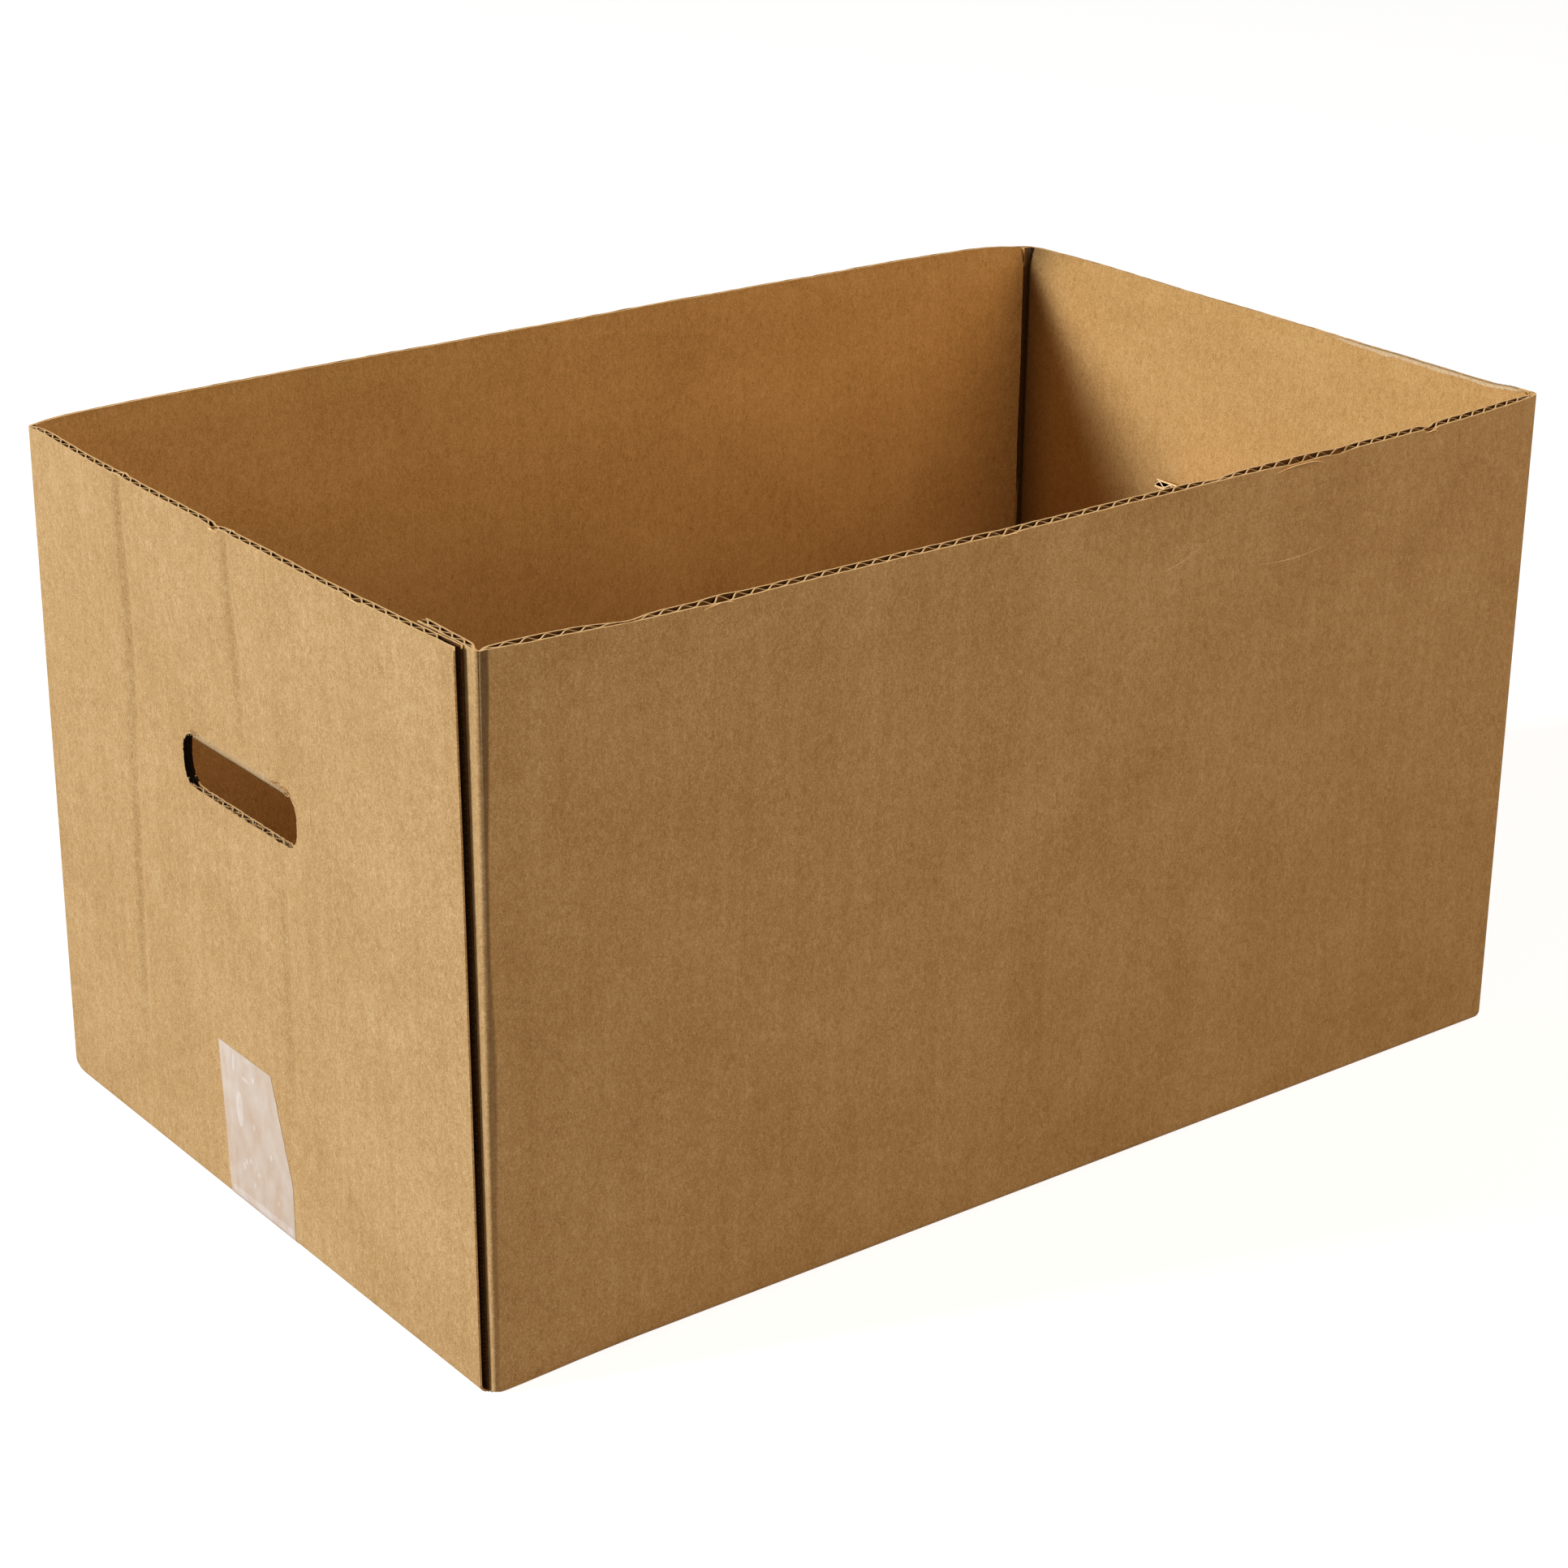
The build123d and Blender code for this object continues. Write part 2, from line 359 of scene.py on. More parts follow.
# Painted shade: the faces inside the board, between its papers, are drawn dark brown
SHADED_INSIDE = cut_paper("paper inside the board in painted shade", "#452b0f", "#66421b")
DEEP = cut_paper("crushed cut in shade", "#120a04", "#241507")
CRUSHED = cut_paper("crushed fluting", "#7d5a31", "#a57b48")
RUBBED = cut_paper("rubbed kraft", "#d8b685", "#f0d6aa")
BOARD_PAPERS = (OUTER_KRAFT, CUT_EDGE, SHADED_INSIDE, DEEP)
INNER_PAPERS = (SHADED_INSIDE, CUT_EDGE, INNER_KRAFT, DEEP)
MEDIUM_PAPERS = (FLUTING, CUT_EDGE, FLUTING, DEEP)


def tape_film_material(name, haze_low, haze_high, low, high, glow):
    """Polypropylene packing tape, a thin clear film with milky glue.

    The board shows through it pale and hazy. Where air is trapped under it, it turns whiter, and a glow adds
    painted light there.
    """
    material, tree, output = new_material(name)
    coords = node(tree, "ShaderNodeTexCoord").outputs["Object"]
    # Clouds of glue and air, 5 to 15 mm across and longer upwards
    drawn = node(tree, "ShaderNodeMapping", None,
                 {"Vector": coords, "Scale": (1.0, 1.0, 0.65)}).outputs["Vector"]
    air = node(tree, "ShaderNodeTexNoise", None,
               {"Vector": drawn, "Scale": 95.0, "Detail": 5.0, "Roughness": 0.55}).outputs["Fac"]
    # It is hazier higher up, and along its left edge
    parts = node(tree, "ShaderNodeSeparateXYZ", None, {"Vector": coords})
    rise = node(tree, "ShaderNodeMapRange", None,
                {"Value": parts.outputs["Z"], "From Min": 0.012, "From Max": 0.060, "To Min": 0.0,
                 "To Max": 0.10}).outputs[0]
    edge = node(tree, "ShaderNodeMapRange", {"interpolation_type": "SMOOTHSTEP"},
                {"Value": parts.outputs["Y"], "From Min": 0.0185, "From Max": 0.0215, "To Min": 0.0,
                 "To Max": 0.12}).outputs[0]
    lift = node(tree, "ShaderNodeMath", {"operation": "ADD"}, {0: rise, 1: edge}).outputs[0]
    cloud = node(tree, "ShaderNodeMapRange", None,
                 {"Value": air, "From Min": 0.30, "From Max": 0.70, "To Min": haze_low,
                  "To Max": haze_high}).outputs[0]
    haze = node(tree, "ShaderNodeMath", {"operation": "ADD"}, {0: cloud, 1: lift}).outputs[0]
    tint = node(tree, "ShaderNodeValToRGB", None, {"Fac": air})
    tint.color_ramp.elements[0].position = 0.32
    tint.color_ramp.elements[0].color = srgb(low)
    tint.color_ramp.elements[1].position = 0.68
    tint.color_ramp.elements[1].color = srgb(high)
    shader = node(tree, "ShaderNodeBsdfPrincipled", None,
                  {"Base Color": tint.outputs["Color"], "Roughness": 0.38, "IOR": 1.49, "Alpha": haze,
                   "Emission Color": tint.outputs["Color"], "Emission Strength": glow})
    tree.links.new(shader.outputs["BSDF"], output.inputs["Surface"])
    return material


PACKING_TAPE = tape_film_material("polypropylene tape", 0.46, 0.62, "#efd6bd", "#f4e6d6", 0.0)
# The trapped air glows with painted light
TAPE_AIR = tape_film_material("air under the tape", 0.26, 0.42, "#faf0e6", "#fffaf4", 0.08)


# The folded strip seen from above

def straight(start, end, step):
    """Places along a straight run, without the last one, and the inward direction."""
    start = np.array(start)
    end = np.array(end)
    length = np.linalg.norm(end - start)
    count = max(1, int(round(length / step)))
    heading = (end - start) / length
    inward = np.array((-heading[1], heading[0]))
    shares = np.arange(count) / count
    return start + np.outer(shares, end - start), np.tile(inward, (count, 1))


def turn(centre, radius, start_angle, count):
    """Places round a fold of a quarter turn, without the last one, and the inward direction."""
    angles = math.radians(start_angle) + np.arange(count) / count * math.pi / 2
    out = np.stack((np.cos(angles), np.sin(angles)), axis=1)
    return np.array(centre) + radius * out, -out


LAP, FOLD_B, NEAR_LONG, FOLD_C, FAR_END, FOLD_D, FAR_LONG, FOLD_A, NEAR_END = range(9)


class Plan:
    """The outer face of the folded strip, from the lap's end round to the near end wall's cut edge."""

    def __init__(self, lap_step, long_step, end_step, back_step, fold_count, short):
        r = CORNER_RADIUS
        right = HALF_LENGTH - r
        back = HALF_WIDTH - r
        cut_edge = CUT_TOP + short - HALF_WIDTH
        lap_x = LAP_FACE + LAP_RADIUS
        lap_y = LAP_RADIUS - HALF_WIDTH
        # Columns are finer beside the folds that are seen well
        close = 0.014
        runs = [
            (LAP, straight((LAP_FACE, LAP_WIDTH - HALF_WIDTH), (LAP_FACE, lap_y + 0.006), lap_step)),
            (LAP, straight((LAP_FACE, lap_y + 0.006), (LAP_FACE, lap_y), 0.00075)),
            (FOLD_B, turn((lap_x, lap_y), LAP_RADIUS, 180, fold_count)),
            (NEAR_LONG, straight((lap_x, -HALF_WIDTH), (lap_x + close, -HALF_WIDTH), 0.0006)),
            (NEAR_LONG, straight((lap_x + close, -HALF_WIDTH), (right, -HALF_WIDTH), long_step)),
            (FOLD_C, turn((right, -back), r, 270, fold_count)),
            (FAR_END, straight((HALF_LENGTH, -back), (HALF_LENGTH, back - close), back_step)),
            (FAR_END, straight((HALF_LENGTH, back - close), (HALF_LENGTH, back), 0.0008)),
            (FOLD_D, turn((right, back), r, 0, fold_count)),
            (FAR_LONG, straight((right, HALF_WIDTH), (right - close, HALF_WIDTH), 0.0008)),
            (FAR_LONG, straight((right - close, HALF_WIDTH), (-right, HALF_WIDTH), back_step)),
            (FOLD_A, turn((-right, back), r, 90, fold_count)),
            (NEAR_END, straight((-HALF_LENGTH, back), (-HALF_LENGTH, cut_edge), end_step)),
        ]
        self.place = np.concatenate([run[0] for _, run in runs] + [[[-HALF_LENGTH, cut_edge]]])
        self.inward = np.concatenate([run[1] for _, run in runs] + [[[1.0, 0.0]]])
        steps = np.linalg.norm(np.diff(self.place, axis=0), axis=1)
        self.run = np.concatenate(([0.0], np.cumsum(steps)))
        self.panel = np.concatenate([np.full(len(run[0]), panel) for panel, run in runs] + [[NEAR_END]])
        folds = (FOLD_B, FOLD_C, FOLD_D, FOLD_A)
        self.folds = np.array([np.mean(self.run[self.panel == fold]) for fold in folds])

    def run_at(self, x, y):
        """The length run at a place on the outer face."""
        return self.run[np.argmin(np.linalg.norm(self.place - np.array((x, y)), axis=1))]


WALL_PLAN = Plan(0.0025, 0.002, 0.0013, 0.003, 7, 0)

# Lines of crushed flutes on the near end: a line of full height, one over the hole, one under it.
# Y at the foot and at the rim, lowest and highest Z, width and depth
CRUSH_LINES = (
    (0.097, 0.083, 0.045, 0.30, 0.0028, 0.0018),
    (-0.0065, -0.0047, 0.224, 0.30, 0.0022, 0.0015),
    (-0.0312, -0.0325, 0.06, 0.178, 0.0022, 0.0010),
)


def crush_reach(z, low_z, high_z):
    """1 along a crushed line and 0 beyond its ends, with a long start at its foot."""
    return ease((z - low_z) / 0.036 + 0.5) * ease((high_z - z) / 0.012 + 0.5)


def cut_slant(z):
    """How far the near end wall's cut edge lies from its place at the rim, as it was cut out of square."""
    return (CUT_FOOT - CUT_TOP) * (1 - z / HEIGHT)


def slack(plan, column, z):
    """How far the wall stands out from its flat place at each point of a sheet."""
    x = plan.place[column, 0]
    y = plan.place[column, 1]
    panel = plan.panel[column]
    high = np.clip(z / HEIGHT, 0, 1)
    out = np.zeros(len(column))
    # Long walls bow out towards the rim, which nothing holds
    long_arch = 1 - np.abs(x / HALF_LENGTH) ** 5
    out += np.where(panel == NEAR_LONG, 0.0095 * long_arch * high ** 1.7, 0)
    out += np.where(panel == FAR_LONG, 0.0060 * long_arch * high ** 1.7, 0)
    # The end walls stay flat at the hand holes and bow a little above them
    end_arch = 1 - np.abs(y / HALF_WIDTH) ** 3
    above = ease((z - 0.212) / (HEIGHT - 0.212))
    out += np.where(panel == NEAR_END, 0.0036 * end_arch * above, 0)
    out += np.where(panel == FAR_END, 0.0015 * end_arch * above, 0)
    # Lazy waves in the large faces
    flat = (panel == NEAR_LONG) | (panel == FAR_LONG)
    waves = ripple_field(plan.run[column], z, 0.11, 0.13, 2)
    out += np.where(flat, 0.0007 * waves * long_arch * ease(z / 0.06), 0)
    # Crushed flutes on the near end
    for low_y, high_y, low_z, high_z, width, depth in CRUSH_LINES:
        line = low_y + (high_y - low_y) * z / HEIGHT
        there = crush_reach(z, low_z, high_z)
        out -= np.where(panel == NEAR_END, depth * bell(y - line, width) * there, 0)
    # The fold at the glued lap stands up as a ridge, with a slope behind it
    behind = x - LAP_FACE
    ridge_width = 0.0046 + 0.0012 * ripple(z, 0.05, 3)
    ridge = 0.0009 * (1 - ease(behind / ridge_width)) * (0.45 + 0.55 * high)
    ridge *= np.clip(plan.inward[column, 1], 0, 1)
    out += np.where((panel == NEAR_LONG) | (panel == FOLD_B), ridge, 0)
    return out


# Knocks along the rim: place in X and Y, half width, change of the outer paper's height, of the inner
# paper's height, and how much of the board's thickness is pinched away
RIM_MARKS = (
    ((-HALF_LENGTH, 0.005), 0.0026, -0.0013, -0.0003, 0.30),
    ((-HALF_LENGTH, -0.099), 0.0040, -0.0009, 0.0000, 0.05),
    ((-0.212, -HALF_WIDTH), 0.0100, -0.0002, -0.0005, 0.62),
    ((-0.170, -HALF_WIDTH), 0.0080, -0.0004, 0.0003, -0.20),
    ((-0.036, -HALF_WIDTH), 0.0050, -0.0006, 0.0000, 0.10),
    ((0.075, -HALF_WIDTH), 0.0090, 0.0000, -0.0004, 0.40),
    ((0.118, -HALF_WIDTH), 0.0150, -0.0007, 0.0004, 0.15),
    ((0.142, -HALF_WIDTH), 0.0060, -0.0010, 0.0002, 0.45),
    ((0.198, -HALF_WIDTH), 0.0032, -0.0015, -0.0006, 0.40),
    ((HALF_LENGTH - 0.003, HALF_WIDTH - 0.003), 0.0170, -0.0026, -0.0026, 0.10),
    ((0.003 - HALF_LENGTH, HALF_WIDTH - 0.003), 0.0120, -0.0012, -0.0012, 0.10),
)


def flute_share(run):
    """How far the medium has gone from the outer liner towards the inner one."""
    return 0.5 + 0.5 * np.sin(2 * math.pi * run / FLUTE_PITCH)


def rim_change(plan, paper):
    """How the rim's height changes along one of the papers: 0 outer, 1 inner, 2 the medium."""
    x = plan.place[:, 0]
    y = plan.place[:, 1]
    wander = 0.00035 * ripple(plan.run, 0.035, 11)
    outer = wander + 0.00020 * ripple(plan.run, 0.0045, 21)
    inner = wander + 0.00020 * ripple(plan.run, 0.0045, 22)
    # The near long wall was cut at a slant, its inner paper higher, and the far end wall is a little lower
    on_near = np.where(plan.panel == NEAR_LONG, ease((x + 0.268) / 0.02) * ease((0.268 - x) / 0.02), 0)
    on_far = np.where(plan.panel == FAR_END, ease((y + 0.163) / 0.02) * ease((0.163 - y) / 0.02), 0)
    outer += -0.0002 * on_near - 0.0014 * on_far
    inner += 0.0006 * on_near - 0.0014 * on_far
    for spot, half_width, outer_mark, inner_mark, _ in RIM_MARKS:
        there = bell(plan.run - plan.run_at(*spot), half_width)
        outer += outer_mark * there
        inner += inner_mark * there
    medium = outer + (inner - outer) * flute_share(plan.run) - 0.00005
    return (outer, inner, medium)[paper]


# How the folds B, C, D and A are pressed: shift along the strip, share of the thickness, half width.
# The one at the lap is the flattest, and at the far corner the mark lies beside the fold, as a crevice
FOLD_MARKS = ((0, 0.74, 0.0048), (0, 0.58, 0.0048), (-0.0042, 0.52, 0.0020), (0, 0.58, 0.0048))


def board_thickness(plan, column, z):
    """The board's thickness over a sheet: less at the scored folds and where the rim was knocked."""
    crush = np.zeros(len(column))
    for fold, (shift, amount, reach) in zip(plan.folds, FOLD_MARKS):
        crush += amount * bell(plan.run[column] - fold - shift, reach)
    depth_of_mark = ease((z - (HEIGHT - 0.014)) / 0.014)
    # The rims of the far walls are squeezed shut
    panel = plan.panel[column]
    crush += np.where((panel == FAR_END) | (panel == FAR_LONG), 0.45, 0) * depth_of_mark
    for spot, half_width, _, _, pinch in RIM_MARKS:
        offset = plan.run[column] - plan.run_at(*spot)
        crush += pinch * bell(offset, half_width) * depth_of_mark
    wander = 0.05 * ripple(plan.run, 0.02, 31)[column] * depth_of_mark
    return BOARD * (1 - np.clip(crush + wander, -0.25, 0.66))


def lay_sheet(name, plan, rows, paper, depth_of):
    """Paper laid round the carton: one column for each place of the plan, one row for each height."""
    rows = np.array(rows)

    def place(column, row):
        inset = rows[row, 0].copy()
        z = rows[row, 1].copy()
        # The lap ends above the short bottom flap
        lap = plan.panel[column] == LAP
        from_fold = plan.run[column] - plan.folds[0]
        inset *= np.where(row == 0, 1.0, ease((np.abs(from_fold) - 0.0020) / 0.0700))
        inset[lap] = 0
        beside_fold = from_fold > -0.0058
        z[lap] = np.maximum(z[lap], np.where(beside_fold, 0.0001 * row, MINOR_TOP + LAYER_GAP)[lap])
        # The bottom corners on the left and at the lap are knocked up a little
        for fold, rise, reach in ((plan.folds[3], 0.0036, 0.0045), (plan.folds[0], 0.0012, 0.0022)):
            z += np.where(lap, 0, rise * bell(plan.run[column] - fold, reach) * (1 - ease(z / 0.02)))
        # Beside the cut the inner paper reaches down to the floor
        to_cut = plan.run[-1] - plan.run[column]
        if paper == 1:
            z[(to_cut < 0.009) & (row == 0)] = 0.0009
        z += rim_change(plan, paper)[column] * ease((z - (HEIGHT - 0.016)) / 0.016)
        depth = depth_of(column, z) + inset - slack(plan, column, z)
        co = np.zeros((len(column), 3))
        co[:, :2] = plan.place[column] + plan.inward[column] * depth[:, None]
        co[:, 2] = z
        on_near_end = plan.panel[column] == NEAR_END
        co[:, 1] += np.where(on_near_end, cut_slant(z) * (1 - ease(to_cut / 0.03)), 0)
        return co

    return sheet(name, plan.run, rows[:, 1], place)


RIM_ROWS = [(0.0, HEIGHT - drop * 0.001) for drop in (16, 12.5, 9.5, 7, 5, 3.4, 2.2, 1.3, 0.6, 0)]
WALL_ROWS = [(0.0, z) for z in np.linspace(0.010, HEIGHT - 0.020, 20)]
FOLD_ROWS = [
    (FLOOR_FOLD * (1 - math.cos(a)), FLOOR_FOLD * (1 - math.sin(a)))
    for a in np.radians((90, 90, 75, 60, 45, 30, 15, 0))
]


def make_board(outer, medium, inner):
    """Gives the three sheets of a board their papers and their thickness."""
    thicken(give_papers(outer, BOARD_PAPERS), LINER, -1)
    thicken(give_papers(inner, INNER_PAPERS), LINER, 1)
    thicken(give_papers(medium, MEDIUM_PAPERS), MEDIUM, 0)


def wall_papers():
    """The outer liner, the fluted medium and the inner liner of the four walls and the lap."""
    plan = WALL_PLAN
    outer_rows = FOLD_ROWS + WALL_ROWS + RIM_ROWS
    outer = lay_sheet("outer_liner", plan, outer_rows, 0, lambda column, z: np.zeros(len(column)))
    inner_rows = [(0.0, BOARD + LAYER_GAP)] + WALL_ROWS + RIM_ROWS

    def inner_depth(column, z):
        # The inner paper buckles beside the far corner and leaves a narrow crevice in it
        from_corner = plan.run[column] - plan.folds[2]
        swell = 0.0016 * bell(from_corner - 0.0040 - 0.0006 * ripple(z, 0.03, 6), 0.0026)
        swell *= 0.75 + 0.45 * ripple(z, 0.040, 16)
        return board_thickness(plan, column, z) + swell * ease((HEIGHT + 0.002 - z) / 0.02)

    inner = lay_sheet("inner_liner", plan, inner_rows, 1, inner_depth)
    # The medium stops short of the cut edge at the joint, which leaves an open channel there
    fine = Plan(0.001, 0.001, 0.001, 0.001, 7, 0.012)

    def wave(column, z):
        room = board_thickness(fine, column, z) - 2 * LINER - MEDIUM
        return LINER + MEDIUM / 2 + np.maximum(room, 0.0002) * flute_share(fine.run[column])

    medium_rows = [(0.0, z) for z in np.linspace(0.012, HEIGHT - 0.020, 9)] + RIM_ROWS[1::2]
    medium = lay_sheet("wall_medium", fine, medium_rows, 2, wave)
    make_board(outer, medium, inner)
    shade_cut(outer)
    shade_cut(inner)
    return outer, medium, inner


def shade_cut(paper):
    """Gives the upright cut edges at the glued joint the piece's first paper in place of the pale edge.
    On the inner liner that is the dark inside paper, as painted shade in the joint's channel.
    """
    for face in paper.data.polygons:
        middle = face.center
        upright = face.material_index == 1 and abs(face.normal.y) > 0.5 and abs(middle.x) > END_WALL_X
        if upright and -HALF_WIDTH < middle.y < 0 and middle.z < HEIGHT - 0.001:
            face.material_index = 0


def shade_hole_end(paper, whole):
    """Gives the cut at one end of each hand hole, which looks away from the light, the dark paper.

    Of the medium the whole end gets the painted shade, as its last flute shows there.
    """
    dark = paper.data.materials.find(DEEP.name)
    for face in paper.data.polygons:
        side = -math.copysign(1, face.center.x)
        across = side * face.center.y
        at_end = 0.034 < across < 0.048 and abs(face.center.x) > END_WALL_X
        level = HOLE_TOP - HOLE_HEIGHT + 0.0012 < face.center.z < HOLE_TOP + 0.002
        away = face.material_index == 1 and side * face.normal.y < -0.12
        if at_end and level and (away or whole):
            face.material_index = dark


def board_panel(name, corner, across, along, run, reach):
    """A flat piece of board as its three papers. The corner is on its outer face, across the flutes is the
    first direction and along them the second."""
    corner = np.array(corner)
    across = np.array(across, float)
    along = np.array(along, float)
    inward = np.cross(along, across)

    def laid(us, vs, depth):
        def place(column, row):
            u = us[column][:, None]
            v = vs[row][:, None]
            return corner + across * u + along * v + inward * depth(us[column])[:, None]
        return place

    coarse = np.linspace(0, run, max(3, int(run / 0.006)))
    fine = np.linspace(0, run, max(9, int(run / 0.001)))
    ups = np.linspace(0, reach, max(3, int(reach / 0.012)))
    few = np.linspace(0, reach, 4)
    room = BOARD - 2 * LINER - MEDIUM

    def wave(u):
        return LINER + MEDIUM / 2 + room * flute_share(u)

    outer = sheet(name + "_outer", coarse, ups, laid(coarse, ups, lambda u: 0 * u))
    inner = sheet(name + "_inner", coarse, ups, laid(coarse, ups, lambda u: 0 * u + BOARD))
    medium = sheet(name + "_medium", fine, few, laid(fine, few, wave))
    make_board(outer, medium, inner)
    return [outer, medium, inner]


def slot_outline(gap, top_gap, count, rough, seed):
    """The outline of a hand hole in Y and Z, its edge torn by up to the given roughness."""
    corner = HOLE_CORNER - gap
    half = HOLE_LENGTH / 2 - gap
    low = HOLE_TOP - HOLE_HEIGHT + gap
    high = HOLE_TOP - top_gap
    points = []
    for middle_y, middle_z, start in (
        (half - corner, high - corner, 0), (corner - half, high - corner, 90),
        (corner - half, low + corner, 180), (half - corner, low + corner, 270),
    ):
        for angle in np.radians(np.linspace(start, start + 90, 24)):
            points.append((middle_y + corner * math.cos(angle), middle_z + corner * math.sin(angle)))
    points = np.array(points + points[:1])
    lengths = np.concatenate(([0.0], np.cumsum(np.linalg.norm(np.diff(points, axis=0), axis=1))))
    spots = np.linspace(0, lengths[-1], count + 1)[:-1]
    y = np.interp(spots, lengths, points[:, 0])
    z = np.interp(spots, lengths, points[:, 1])
    tear = rough * (ripple(spots, 0.0022, seed) + 0.6 * ripple(spots, 0.0009, seed + 1))
    tear *= 1 + 1.2 * ease((y - half + corner) / 0.006)
    # A flap's edge tears only inwards and a hole's only outwards, so that the flap closes in its hole
    tear = np.minimum(tear, 0) if gap else np.maximum(tear, -0.0001)
    out = np.stack((np.sign(y) * np.clip((np.abs(y) - half + corner) / corner, 0, 1),
                    np.sign(z - (low + high) / 2) * np.ones(count)), axis=1)
    out /= np.linalg.norm(out, axis=1)[:, None]
    return y + tear * out[:, 0], z + tear * out[:, 1]


def slot_block(name, gap, top_gap, low_x, high_x, rough, seed):
    """A block with a hand hole's torn outline, through the near end wall."""
    count = 300
    clear_selection()
    bpy.ops.mesh.primitive_circle_add(vertices=count, fill_type="NGON")
    block = bpy.context.object
    block.name = name
    while block.data.uv_layers:
        block.data.uv_layers.remove(block.data.uv_layers[0])
    y, z = slot_outline(gap, top_gap, count, rough, seed)
    put(block, np.stack((np.full(count, low_x), y, z), axis=1))
    bpy.ops.object.mode_set(mode="EDIT")
    bpy.ops.mesh.select_all(action="SELECT")
    bpy.ops.mesh.extrude_region_move(TRANSFORM_OT_translate={"value": (high_x - low_x, 0, 0)})
    bpy.ops.mesh.select_all(action="SELECT")
    bpy.ops.mesh.normals_make_consistent(inside=False)
    bpy.ops.object.mode_set(mode="OBJECT")
    return block


def cut(piece, cutter, operation="DIFFERENCE"):
    """Cuts a piece with a closed block, whose faces leave the pale cut edge."""
    give_papers(cutter, (OUTER_KRAFT, CUT_EDGE))
    for face in cutter.data.polygons:
        face.material_index = 1
    return apply_modifier(piece, "BOOLEAN",
                          {"object": cutter, "operation": operation, "solver": "MANIFOLD"})


def turned_copy(piece, name):
    """A copy of a near end piece for the far end, half a turn round the carton, with its own mesh."""
    take(piece)
    bpy.ops.object.duplicate(linked=False)
    copy = named(name)
    copy.data.transform(Matrix.Rotation(math.pi, 4, "Z"))
    return copy


def hand_holes(papers):
    """Cuts both hand holes through the wall papers, each paper with its own torn edge."""
    for index, paper in enumerate(papers):
        block = slot_block("hole_cutter", 0, 0, -HALF_LENGTH - 0.004, -HALF_LENGTH + BOARD + 0.004,
                           (0.00050, 0.00070, 0.00040)[index], 40 + index * 3)
        far_block = turned_copy(block, "far_hole_cutter")
        for cutter in (block, far_block):
            cut(paper, cutter)
            remove(cutter)
        shade_hole_end(paper, index == 1)


def hand_flap():
    """The die-cut flap of the near hand hole, pushed in about its crease."""
    corner = (-HALF_LENGTH, HOLE_LENGTH / 2, HOLE_TOP - HOLE_HEIGHT)
    papers = board_panel("near_flap", corner, (0, -1, 0), (0, 0, 1), HOLE_LENGTH, HOLE_HEIGHT)
    for index, paper in enumerate(papers):
        block = slot_block("flap_cutter", FLAP_CLEARANCE, CREASE_GAP, -HALF_LENGTH - 0.002,
                           -HALF_LENGTH + BOARD + 0.002, 0.0003, 60 + index * 3)
        cut(paper, block, "INTERSECT")
        remove(block)
    flap = join("near_flap_board", papers)
    hinge = Vector((-HINGE_X, 0, HOLE_TOP))
    fold = Matrix.Translation(hinge) @ Matrix.Rotation(-FLAP_FOLD, 4, "Y") @ Matrix.Translation(-hinge)
    flap.data.transform(fold)
    return flap


def hole_end_shade_sheet():
    """A nearly black sheet at the near hand hole's far side, between the papers: partly the medium that the
    die pressed shut along its flute, partly painted shade.
    """
    angles = np.radians(np.linspace(86, -80, 60))
    middle_y = HOLE_LENGTH / 2 - HOLE_CORNER
    corner_z = np.where(angles > 0, HOLE_TOP - HOLE_CORNER, HOLE_TOP - HOLE_HEIGHT + HOLE_CORNER)
    depths = np.linspace(LINER - 0.0001, BOARD - LINER + 0.0001, 7)

    def place(column, row):
        angle = angles[row]
        reach = HOLE_CORNER + 0.0005 + 0.0003 * ripple_field(angle, depths[column], 0.09, 0.0008, 12)
        co = np.zeros((len(column), 3))
        co[:, 0] = -HALF_LENGTH + depths[column]
        co[:, 1] = middle_y + reach * np.cos(angle)
        co[:, 2] = corner_z[row] + reach * np.sin(angle)
        return co

    end = sheet("near_hole_end", depths, angles * HOLE_CORNER, place)
    return give_papers(end, (DEEP,))


def crease_roll():
    """The outer paper where it rolls from the near end wall into the flap."""
    half = HOLE_LENGTH / 2 - HOLE_CORNER + 0.0012
    us = np.linspace(-half, half, 71)
    turns = np.linspace(-0.28, 1.0, 29) * FLAP_FOLD

    def place(column, row):
        angle = turns[row]
        rolled = np.maximum(angle, 0)
        above = np.maximum(-angle, 0) * BOARD
        # It swells a little where it starts to roll, and sinks into the wall above that
        radius = BOARD + 0.00008 + 0.00018 * bell(angle - 0.30, 0.35)
        radius -= 0.00008 * ripple(us[column], 0.006, 5)
        sunk = 0.00030 * ease((above - 0.30 * BOARD) / (0.24 * BOARD))
        co = np.zeros((len(column), 3))
        co[:, 0] = -HINGE_X - radius * np.cos(rolled) + sunk
        co[:, 1] = -us[column] * (1 - 0.05 * rolled / FLAP_FOLD)
        co[:, 2] = HOLE_TOP - radius * np.sin(rolled) + above
        return co

    roll = sheet("near_crease", us, (1 - turns) * BOARD, place)
    # Painted shade: it darkens as it rolls under, where its underside lies in shade
    co = places(roll)
    angle = np.arctan2(HOLE_TOP - co[:, 2], -HINGE_X - co[:, 0])
    shade = 0.16 * ease((angle + 0.5) / 0.6) + 0.30 * ease((angle - 0.05) / 0.40)
    set_shade(roll, shade + 0.48 * ease((angle - 0.32) / 0.28))
    give_papers(roll, (SHADED_INSIDE, CUT_EDGE, STRETCHED_KRAFT))
    return roll


